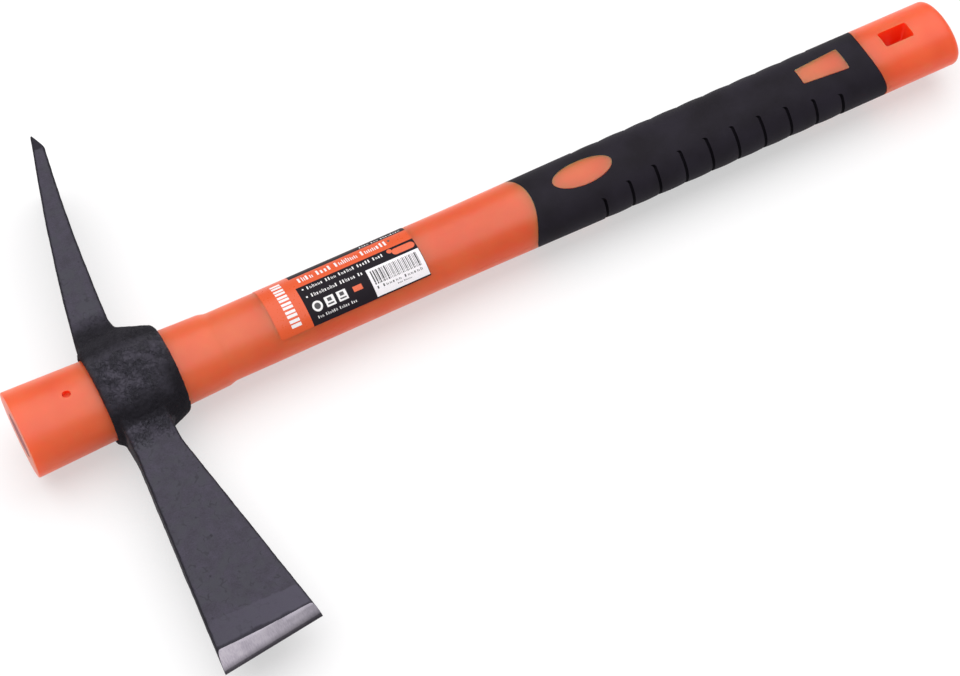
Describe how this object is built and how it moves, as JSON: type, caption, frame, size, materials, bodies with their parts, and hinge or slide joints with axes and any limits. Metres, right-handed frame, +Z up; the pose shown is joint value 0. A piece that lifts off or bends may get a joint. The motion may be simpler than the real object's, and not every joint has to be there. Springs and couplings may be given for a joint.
{
  "type": "cutter mattock",
  "caption": "Short cutter mattock: forged head with an axe blade and an adze, on a jacketed fibreglass handle with a rubber grip and a hang slot.",
  "frame": {"origin": "middle of the handle's head end face", "axes": "+X along the handle to the butt, +Y towards the adze, +Z up out of the handle's broad side, as the tool lies on its side"},
  "size_m": [0.378, 0.2221, 0.036],
  "materials": {
    "forged_steel": "black scale under a thin satin lacquer, bright ground at the cutting edges",
    "orange_plastic": "satin moulded polypropylene",
    "fibreglass": "sawn pultruded glass fibre",
    "grip_rubber": "fine matte moulded texture",
    "label_film": "glossy printed film",
    "label_paper": "uncoated sticker"
  },
  "bodies": {
    "root": {"mattock_head": "forged_steel", "handle_jacket": "orange_plastic", "fibreglass_core": "fibreglass", "grip_sleeve": "grip_rubber", "product_label": "label_film", "price_label": "label_paper"}
  },
  "joints": []
}
